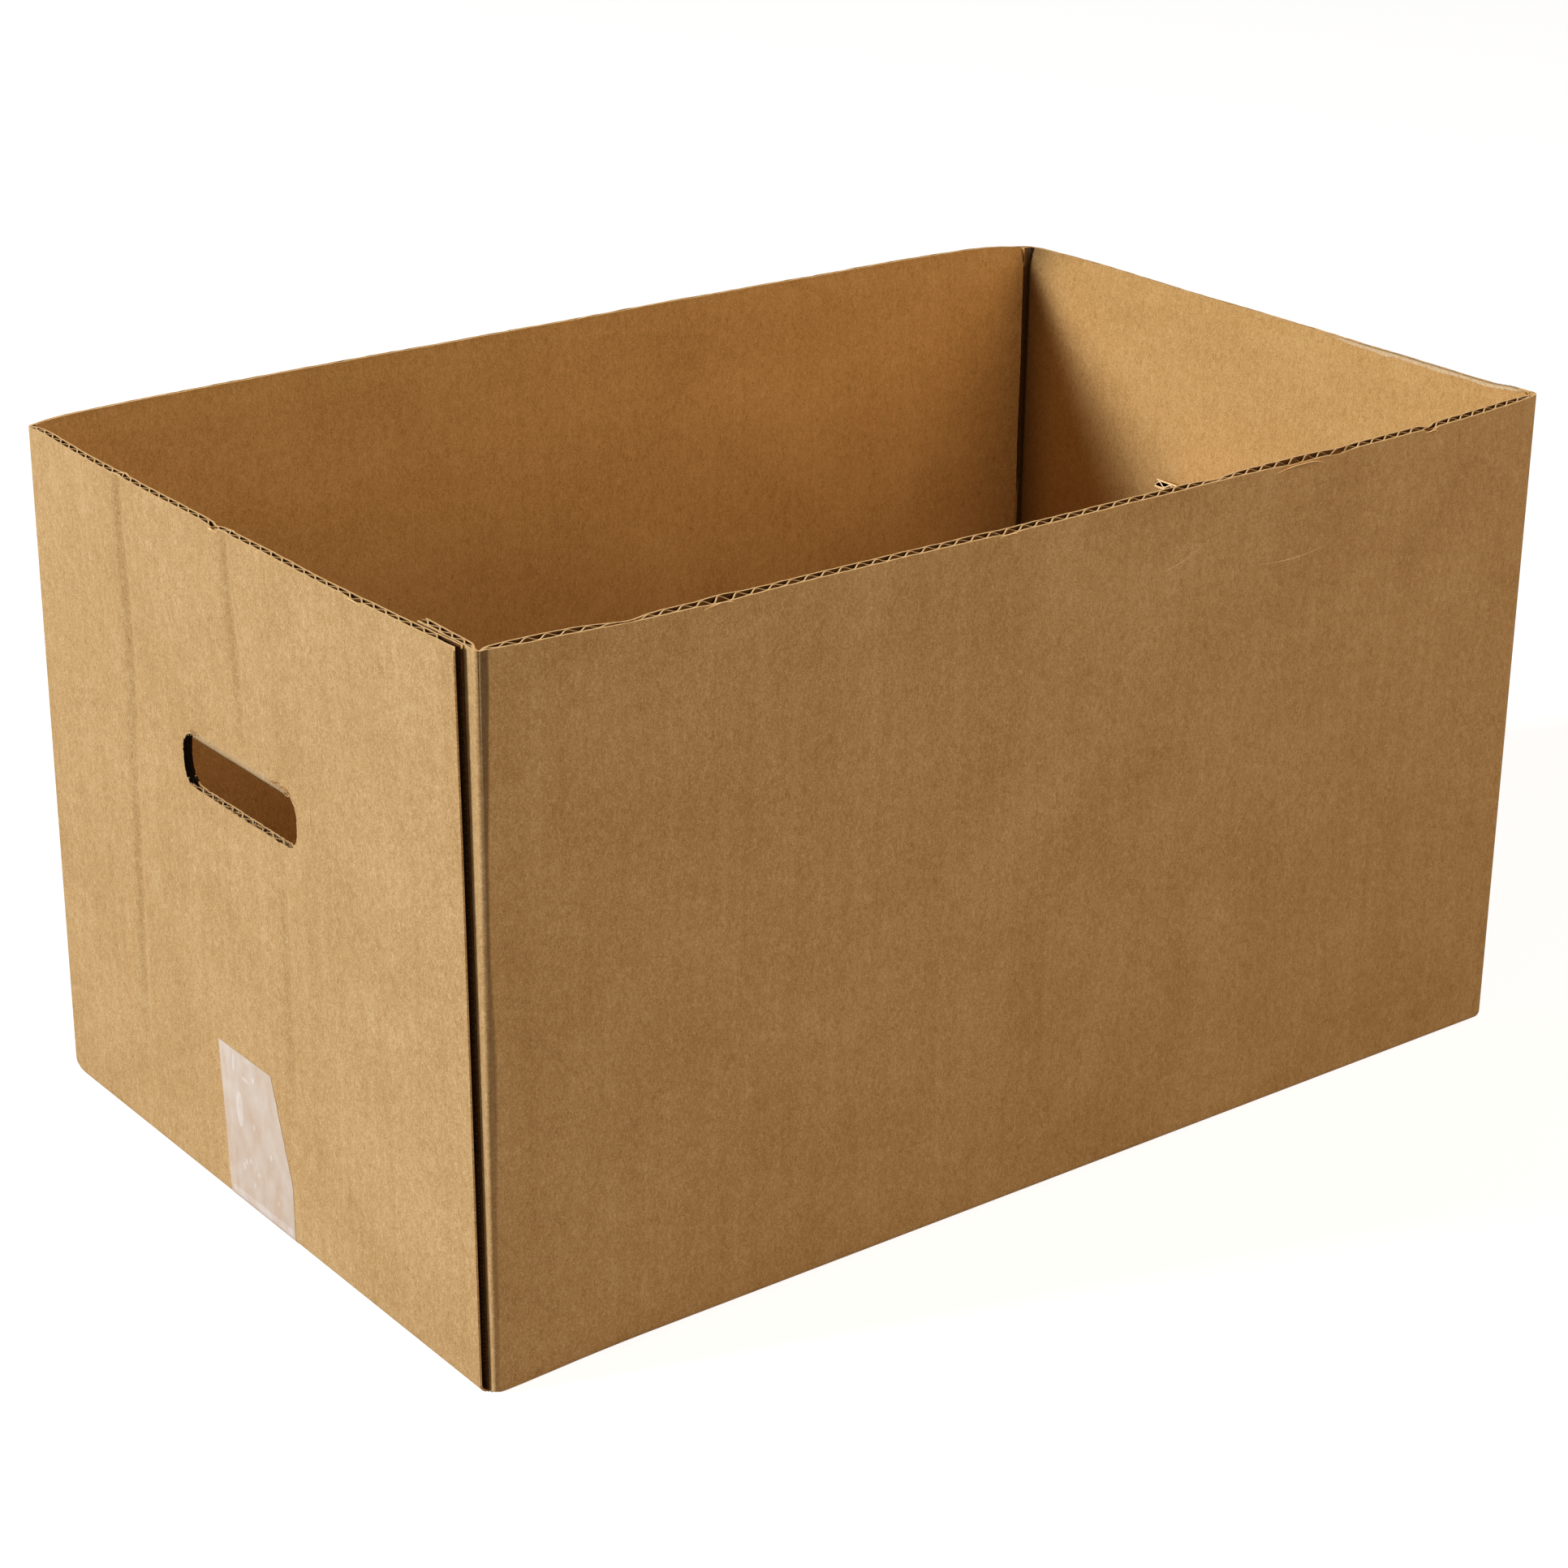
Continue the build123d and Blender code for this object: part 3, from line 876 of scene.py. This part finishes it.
def paint_shade(piece):
    """Paints shade and shadow into the papers as a point attribute: beside the glued fold, in the far inner
    corner and along the crushed lines.
    """
    co = places(piece)
    x, y, z = co.T
    high = np.clip(z / HEIGHT, 0, 1)
    # Painted shadow in the strip beside the glued fold, which its ridge shades, with a wavy edge
    behind = x - LAP_FACE
    width = 0.0032 + 0.0005 * ripple(z, 0.03, 3) + 0.0016 * bell(z - 0.13, 0.035)
    width += 0.0016 * ease((z - 0.20) / 0.1)
    strip = ease((behind - 0.0004) / 0.0005) * ease((width - behind) / 0.0009)
    shade = np.where(y < 0.002 - HALF_WIDTH, strip * (0.26 + 0.44 * high), 0)
    # Painted shade in the crevice of the far inner corner, and a broad painted shadow over the far end wall
    # beside it
    on_far_end = (x > HALF_LENGTH - BOARD - 0.0002) & (piece.name == "inner_liner")
    from_corner = HALF_WIDTH - BOARD - y
    shade = np.maximum(shade, np.where(on_far_end, 0.90 * bell(from_corner - 0.0010, 0.0012), 0))
    shade = np.maximum(shade, np.where(on_far_end, 0.68 * bell(from_corner, 0.019), 0))
    # Painted shade along the lines of crushed flutes on the near end
    on_near_end = x < 0.0015 - HALF_LENGTH
    for low_y, high_y, low_z, high_z, _, _ in CRUSH_LINES:
        line = low_y + (high_y - low_y) * high - 0.0012
        dark = 0.20 * ease((line + 0.0022 - y) / 0.0030) * ease((y - line + 0.0012) / 0.0010)
        shade = np.maximum(shade, np.where(on_near_end, dark * crush_reach(z, low_z, high_z), 0))
    set_shade(piece, shade)


outer_liner, wall_medium, inner_liner = wall_papers()
hand_holes((outer_liner, wall_medium, inner_liner))
paint_shade(outer_liner)
paint_shade(inner_liner)
for wall_piece in (outer_liner, wall_medium, inner_liner):
    on_body(wall_piece, "carton", "kraft_board", "carton_blank")

# Bottom flaps: the long pair on the floor, the short pair on top of it
end_reach = HALF_LENGTH - BOARD - SLOT_GAP
side_reach = HALF_WIDTH - BOARD - SLOT_GAP
long_reach = HALF_WIDTH - FLOOR_FOLD - SEAM_GAP / 2
short_reach = FLAP_DEPTH - BOARD
for panel_name, corner, across, along, run, reach in (
    ("near_long_flap", (-end_reach, -SEAM_GAP / 2, 0), (1, 0, 0), (0, -1, 0), 2 * end_reach, long_reach),
    ("far_long_flap", (end_reach, SEAM_GAP / 2, 0), (-1, 0, 0), (0, 1, 0), 2 * end_reach, long_reach),
    ("near_short_flap", (FLAP_DEPTH - HALF_LENGTH, side_reach, MINOR_FLOOR), (0, -1, 0), (-1, 0, 0),
     2 * side_reach, short_reach),
    ("far_short_flap", (HALF_LENGTH - FLAP_DEPTH, -side_reach, MINOR_FLOOR), (0, 1, 0), (1, 0, 0),
     2 * side_reach, short_reach),
):
    panel = join(panel_name, board_panel(panel_name, corner, across, along, run, reach))
    on_body(panel, "carton", "kraft_board")

near_flap_board = hand_flap()
far_flap_board = turned_copy(near_flap_board, "far_flap_board")
on_body(near_flap_board, "near_flap", "kraft_board", "near_hand_flap")
on_body(far_flap_board, "far_flap", "kraft_board", "far_hand_flap")

near_crease = crease_roll()
far_crease = turned_copy(near_crease, "far_crease")
for crease, flap_body, side in ((near_crease, "near_flap", -1), (far_crease, "far_flap", 1)):
    smooth(thicken(crease, LINER / 2, 1))
    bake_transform(crease)


# Torn fibres, peeled paper and scratches

def on_wall(x, y, z, lift):
    """A place on the outer face of the walls, lifted off it, and the directions along and out of it."""
    column = np.argmin(np.linalg.norm(WALL_PLAN.place - np.array((x, y)), axis=1))
    out = -WALL_PLAN.inward[column]
    stand = slack(WALL_PLAN, np.array([column]), np.array([z]))[0] + lift
    spot = np.array((*(WALL_PLAN.place[column] + out * stand), z))
    return spot, np.array((-out[1], out[0], 0.0)), np.array((*out, 0.0))


def tufts(name, spots, paper):
    """Short torn fibres, each a thin spike at a place and in a direction, joined into one piece."""
    spikes = []
    for place, heading, length, width in spots:
        clear_selection()
        bpy.ops.mesh.primitive_cone_add(vertices=5, radius1=width, radius2=width * 0.3, depth=length,
                                        location=place)
        spike = bpy.context.object
        spike.rotation_euler = Vector(heading).to_track_quat("Z", "Y").to_euler()
        spikes.append(spike)
    piece = join(name, spikes)
    bpy.ops.object.transform_apply(location=True, rotation=True, scale=True)
    co = places(piece)
    widths = np.repeat([spot[3] for spot in spots], len(co) // len(spots))
    for axis in range(3):
        co[:, axis] += 0.5 * widths * ripple(co[:, 1] + co[:, 2] * 1.7 + axis * 0.01, 0.0004, 70 + axis)
    put(piece, co)
    give_papers(piece, (paper,))
    return piece


def joint_fibres():
    """Ends of the crushed medium in the open channel of the glued joint, and teeth on the cut edge."""
    spots = []
    z = 0.010
    while z < 0.290:
        edge = CUT_TOP + cut_slant(z) - HALF_WIDTH
        spots.append(((-0.2725, edge + 0.0004, z), (0, -1, 0.2), 0.0007, 0.00016))
        z += 0.0017 if z < 0.09 else 0.0030
    z = 0.008
    while z < 0.294:
        edge = CUT_TOP + cut_slant(z) - HALF_WIDTH
        spots.append(((-0.27475, edge - 0.0001, z), (0, -1, 0.3), 0.0008, 0.00024))
        z += 0.0016
    return tufts("joint_fibres", spots, CRUSHED)


def hole_fibres():
    """Torn tufts at both ends of the crease and a few along the lower edge of the near hand hole."""
    chance = np.random.RandomState(5)
    spots = []
    for side, first, last, count in ((1, -0.0032, 0.0046, 80), (-1, -0.0098, 0.0062, 130)):
        for along in np.linspace(first, last, count):
            # Along the crease, then down round the corner of the hole
            angle = max(along, 0) / HOLE_CORNER
            y = HOLE_LENGTH / 2 - HOLE_CORNER + min(along, 0) + HOLE_CORNER * math.sin(angle)
            z = HOLE_TOP - HOLE_CORNER * (1 - math.cos(angle)) + chance.uniform(0.0001, 0.0012)
            heading = Vector((chance.uniform(-1.0, -0.3), chance.uniform(-0.8, 0.8),
                              chance.uniform(-0.9, 0.5)))
            length = chance.uniform(0.0007, 0.0020)
            # Rooted in the face of the wall, so that the flap closes behind it
            root = Vector((0.0001 - HALF_LENGTH, side * y, z))
            spots.append((root + heading.normalized() * length / 2, heading, length,
                          chance.uniform(0.00010, 0.00026)))
    for _ in range(220):
        y = chance.uniform(-0.039, 0.037)
        x = -HALF_LENGTH + chance.uniform(0.0001, BOARD - 0.0001)
        heading = (chance.uniform(-0.6, 0.6), chance.uniform(-0.7, 0.7), 1.0)
        spots.append(((x, y, HOLE_TOP - HOLE_HEIGHT - 0.0004), heading, chance.uniform(0.0006, 0.0014),
                      chance.uniform(0.00012, 0.00030)))
    return tufts("near_hole_fibres", spots, RUBBED)


def peeled_lip(name, x, y, drop, length, height, curl):
    """A tongue of the outer paper knocked loose at the rim, which curls outwards."""
    spot, along, out = on_wall(x, y, HEIGHT - drop, 0.00005)
    us = np.linspace(-1, 1, 19)
    vs = np.linspace(0, 1, 7)

    def place(column, row):
        reach = (1 - us[column] ** 2) * vs[row] * (1 + 0.3 * ripple(us[column], 0.3, int(length * 10000)))
        co = spot + np.outer(us[column] * length / 2, along) + np.outer(curl * reach ** 1.4, out)
        co[:, 2] += height * reach
        return co

    lip = sheet(name, us * length / 2, vs * height, place)
    give_papers(lip, (OUTER_KRAFT, CUT_EDGE, CUT_EDGE))
    return thicken(lip, 0.00035, -1)


def scratch(name, start, end, width):
    """A pale line on the near long wall, where the paper's fibres were rubbed up."""
    us = np.linspace(-1, 1, 3)
    vs = np.linspace(0, 1, 41)

    def place(column, row):
        co = np.zeros((len(column), 3))
        for i, t in enumerate(vs[row]):
            x = start[0] + (end[0] - start[0]) * t
            z = start[1] + (end[1] - start[1]) * t - 0.0016 * math.sin(math.pi * t)
            fade = math.sin(math.pi * t) ** 0.5 * (0.7 + 0.3 * noise.noise((t * 14, 0.3, x)))
            spot, _, _ = on_wall(x, -HALF_WIDTH, z, 0)
            side = us[column[i]]
            co[i] = (x, spot[1] - 0.00006 * fade * (1 - abs(side)), z + side * width / 2 * fade)
        return co

    line = sheet(name, us * width, vs * 0.05, place)
    line.data.materials.append(RUBBED)
    return line


def pressed_rim():
    """The outer paper's edge on the far end wall, pressed over the rim and down inside."""
    first, last = -0.163, -0.040
    us = np.linspace(first, last, 90)
    vs = np.linspace(0, 1, 9)
    rim = np.vstack([places(paper) for paper in (outer_liner, inner_liner)])
    rim = rim[(rim[:, 0] > HALF_LENGTH - 0.012) & (rim[:, 2] > HEIGHT - 0.006)]
    around = [rim[np.abs(rim[:, 1] - y) < 0.005] for y in us]
    outside = np.array([spots[:, 0].max() for spots in around])
    inside = np.array([spots[:, 0].min() for spots in around])
    top = np.array([spots[:, 2].max() for spots in around])

    def place(column, row):
        y = us[column]
        ends = ease((y - first) / 0.008) * ease((last - y) / 0.030)
        # The first half lies on the rim, the second half hangs inside
        across = np.clip(vs[row] / 0.5, 0, 1)
        hang = np.clip(vs[row] / 0.5 - 1, 0, 1)
        drop = 0.0022 * ends * (0.75 + 0.4 * ripple(y, 0.010, 91))
        co = np.zeros((len(y), 3))
        co[:, 0] = outside[column] + (inside[column] - outside[column]) * across - 0.0004 * ends * across
        co[:, 1] = y
        co[:, 2] = top[column] + 0.00035 * (ends - 0.9) - drop * hang - 0.0002 * (1 - across)
        return co

    strip = sheet("far_rim_strip", us, vs * 0.006, place)
    give_papers(strip, (RUBBED, CUT_EDGE, RUBBED))
    return thicken(strip, 0.0002, -1)


joint_tufts = joint_fibres()
on_body(joint_tufts, "carton", "kraft_board")
near_tufts = hole_fibres()
far_tufts = turned_copy(near_tufts, "far_hole_fibres")
near_end_cut = hole_end_shade_sheet()
far_end_cut = turned_copy(near_end_cut, "far_hole_end")
for hole_piece in (near_tufts, far_tufts, near_end_cut, far_end_cut):
    on_body(hole_piece, "carton", "kraft_board")
rim_lips = [
    peeled_lip("rim_lip", x, y, drop, length, height, curl)
    for x, y, drop, length, height, curl in (
        (-HALF_LENGTH, 0.003, 0.0016, 0.0060, 0.0008, 0.0012),
        (-HALF_LENGTH, -0.099, 0.0014, 0.0090, 0.0012, 0.0009),
        (-0.171, -HALF_WIDTH, 0.0020, 0.0150, 0.0016, 0.0009),
        (-0.036, -HALF_WIDTH, 0.0016, 0.0090, 0.0009, 0.0010),
        (0.121, -HALF_WIDTH, 0.0030, 0.0260, 0.0026, 0.0024),
        (0.199, -HALF_WIDTH, 0.0024, 0.0080, 0.0014, 0.0013),
    )
]
on_body(join("rim_lips", rim_lips), "carton", "kraft_board")
on_body(pressed_rim(), "carton", "kraft_board")
scratches = [
    scratch("rubbed_line", (0.0478, 0.2667), (0.0703, 0.2748), 0.0006),
    scratch("rubbed_line", (0.1006, 0.2588), (0.1410, 0.2596), 0.0006),
]
on_body(join("rubbed_lines", scratches), "carton", "kraft_board")


# The strip of tape, along the bottom seam and up both ends

TAPE_LIFT = 0.00010
TAPE_FILM = 0.00006
TAPE_RISE = 0.0715
TAPE_LEFT = 0.0245
TAPE_RIGHT = -0.0280
TEAR_FOOT = 0.027
TEAR_SLOPE = 0.317


def tape_path():
    """The middle of the tape's path in X and Z, from its top on the near end to its top on the far end."""
    out = HALF_LENGTH + TAPE_LIFT
    bend = FLOOR_FOLD + TAPE_LIFT
    ups = [(-out, z) for z in np.linspace(TAPE_RISE, FLOOR_FOLD, 40)]
    angles = np.radians(np.linspace(0, 90, 9)[1:])
    near_bend = [(bend - out - bend * math.cos(a), FLOOR_FOLD - bend * math.sin(a)) for a in angles]
    under = [(x, -TAPE_LIFT) for x in np.linspace(bend - out, out - bend, 90)[1:]]
    far_bend = [(out - bend + bend * math.sin(a), FLOOR_FOLD - bend * math.cos(a)) for a in angles]
    downs = [(out, z) for z in np.linspace(FLOOR_FOLD, TAPE_RISE, 40)[1:]]
    return np.array(ups + near_bend + under + far_bend + downs)


def bottom_tape():
    """A strip of film, a little wrinkled and with air under it, its near end torn off at one corner."""
    path = tape_path()
    steps = np.linalg.norm(np.diff(path, axis=0), axis=1)
    length = np.concatenate(([0.0], np.cumsum(steps)))
    us = np.linspace(0, 1, 41)

    def place(column, row):
        x = path[row, 0]
        z = path[row, 1]
        on_near_end = x < 0
        edge = TAPE_LEFT + 0.0045 * np.clip(z / TAPE_RISE, 0, 1) * on_near_end
        # The corner that was torn off
        torn = TEAR_SLOPE * np.maximum(z - TEAR_FOOT, 0)
        torn += 0.00025 * ripple(z, 0.003, 9) * ease((z - 0.02) / 0.01)
        torn = TAPE_RIGHT + torn * on_near_end
        co = np.zeros((len(column), 3))
        co[:, 1] = torn + (edge - torn) * us[column]
        puff = 0.5 + 0.5 * ripple_field(co[:, 1], length[row], 0.010, 0.030, 8)
        side = np.where(z > FLOOR_FOLD, np.sign(x), 0)
        co[:, 0] = x + side * 0.00008 * puff
        co[:, 2] = z - np.where(side == 0, 0.00005 * puff, 0)
        return co

    tape = sheet("bottom_tape_film", us * 0.053, length, place)
    tape.data.materials.append(PACKING_TAPE)
    return apply_modifier(tape, "SOLIDIFY", {"thickness": TAPE_FILM, "offset": 0})


def tape_bubbles():
    """Air trapped under the tape on the near end: one long bubble and some specks."""
    bubbles = []
    for y, z, half_y, half_z in (
        (0.0131, 0.0455, 0.0029, 0.0080), (0.0168, 0.0655, 0.0013, 0.0040),
        (0.0020, 0.0414, 0.0010, 0.0015), (0.0095, 0.0225, 0.0014, 0.0015),
        (0.0117, 0.0193, 0.0015, 0.0017), (-0.0005, 0.0205, 0.0010, 0.0012),
        (-0.0112, 0.0331, 0.0008, 0.0015), (0.0033, 0.0142, 0.0010, 0.0015),
        (0.0005, 0.0634, 0.0009, 0.0015), (0.0075, 0.0610, 0.0026, 0.0010),
        (0.0062, 0.0240, 0.0009, 0.0013), (-0.0160, 0.0140, 0.0008, 0.0012),
    ):
        clear_selection()
        bpy.ops.mesh.primitive_circle_add(vertices=28, radius=1, fill_type="NGON",
                                          location=(-HALF_LENGTH - 0.00030, y, z),
                                          rotation=(0, -math.pi / 2, 0))
        bubble = bpy.context.object
        bubble.scale = (half_z, half_y, 1)
        bubbles.append(bubble)
    piece = join("tape_bubbles", bubbles)
    bpy.ops.object.transform_apply(location=True, rotation=True, scale=True)
    co = places(piece)
    co[:, 1] += 0.0004 * ripple(co[:, 2], 0.004, 81)
    put(piece, co)
    piece.data.materials.append(TAPE_AIR)
    return piece


def tape_overlap():
    """The edge of the tape's second layer, low on the near end."""
    us = np.linspace(0.0222, -0.0262, 25)
    vs = np.linspace(0.0037, 0.0070, 4)

    def place(column, row):
        co = np.zeros((len(column), 3))
        co[:, 0] = -HALF_LENGTH - 0.00026
        co[:, 1] = us[column]
        co[:, 2] = vs[row] + 0.0004 * ripple(us[column], 0.012, 83) * row / 3
        return co

    layer = sheet("tape_overlap", us, vs, place)
    layer.data.materials.append(TAPE_AIR)
    return layer


tape_film = bottom_tape()
on_body(tape_film, "carton", "packing_tape", "bottom_tape")
for film_piece in (tape_bubbles(), tape_overlap()):
    on_body(film_piece, "carton", "packing_tape")


# Floor, light and camera

def soft_lamp(name, place, aim, size, power, colour):
    """A square soft lamp that faces a point."""
    lamp = bpy.data.lights.new(name, "AREA")
    lamp.size = size
    lamp.energy = power
    lamp.color = colour
    holder = bpy.data.objects.new(name, lamp)
    bpy.context.scene.collection.objects.link(holder)
    holder.location = place
    holder.rotation_euler = (Vector(aim) - Vector(place)).to_track_quat("-Z", "Y").to_euler()
    return holder


def studio():
    """A pale floor, a soft lamp on the left, a weaker warm one in front, and a dim room that looks white."""
    clear_selection()
    bpy.ops.mesh.primitive_plane_add(size=30, location=(0, 0, -0.0004))
    floor = bpy.context.object
    floor.name = "studio_floor"
    material, tree, output = new_material("white studio floor")
    path = node(tree, "ShaderNodeLightPath")
    matte = node(tree, "ShaderNodeBsdfDiffuse", None, {"Color": (0.60, 0.64, 0.68, 1)}).outputs[0]
    glow = node(tree, "ShaderNodeEmission", None, {"Color": (1, 1, 1, 1), "Strength": 0.84}).outputs[0]
    lifted = node(tree, "ShaderNodeAddShader", None, {0: matte, 1: glow}).outputs[0]
    seen = node(tree, "ShaderNodeMixShader", None,
                {0: path.outputs["Is Camera Ray"], 1: matte, 2: lifted}).outputs[0]
    tree.links.new(seen, output.inputs["Surface"])
    floor.data.materials.append(material)

    middle = (0, 0, 0.15)
    soft_lamp("key", (-4.30, 1.42, 1.55), middle, size=0.75, power=190, colour=(0.98, 1.0, 1.06))
    soft_lamp("front", (0.70, -2.60, 1.50), middle, size=1.8, power=33, colour=(1.0, 0.75, 0.56))

    world = bpy.data.worlds.new("white room")
    world.use_nodes = True
    bpy.context.scene.world = world
    tree = world.node_tree
    tree.nodes.clear()
    path = node(tree, "ShaderNodeLightPath")
    direct = node(tree, "ShaderNodeMath", {"operation": "MAXIMUM"},
                  {0: path.outputs["Is Camera Ray"], 1: path.outputs["Is Glossy Ray"]}).outputs[0]
    direct = node(tree, "ShaderNodeMath", {"operation": "MAXIMUM"},
                  {0: direct, 1: path.outputs["Is Transmission Ray"]}).outputs[0]
    room = node(tree, "ShaderNodeBackground", None,
                {"Color": (1.0, 0.87, 0.62, 1), "Strength": 0.12}).outputs[0]
    white = node(tree, "ShaderNodeBackground", None, {"Color": (1, 1, 1, 1), "Strength": 1.0}).outputs[0]
    mixed = node(tree, "ShaderNodeMixShader", None, {0: direct, 1: room, 2: white}).outputs[0]
    node(tree, "ShaderNodeOutputWorld", None, {"Surface": mixed})


def photo_camera():
    """The camera at the photograph's viewing angle, fitted to the corners of the carton in it."""
    azimuth, elevation, roll = (math.radians(a) for a in (-37.460, 22.461, 0.542))
    back = Vector((math.sin(azimuth) * math.cos(elevation), -math.cos(azimuth) * math.cos(elevation),
                   math.sin(elevation)))
    right = Vector((math.cos(azimuth), math.sin(azimuth), 0))
    up = back.cross(right)
    leaning_right = right * math.cos(roll) + up * math.sin(roll)
    leaning_up = up * math.cos(roll) - right * math.sin(roll)
    data = bpy.data.cameras.new("photo_camera")
    data.sensor_width = 36
    data.lens = 81.102
    camera = bpy.data.objects.new("photo_camera", data)
    bpy.context.scene.collection.objects.link(camera)
    turned = Matrix((leaning_right, leaning_up, back)).transposed().to_4x4()
    camera.matrix_world = Matrix.Translation((-0.8833, -1.1456, 0.7253)) @ turned
    bpy.context.scene.camera = camera


studio()
photo_camera()
bpy.context.scene.view_settings.view_transform = "Standard"
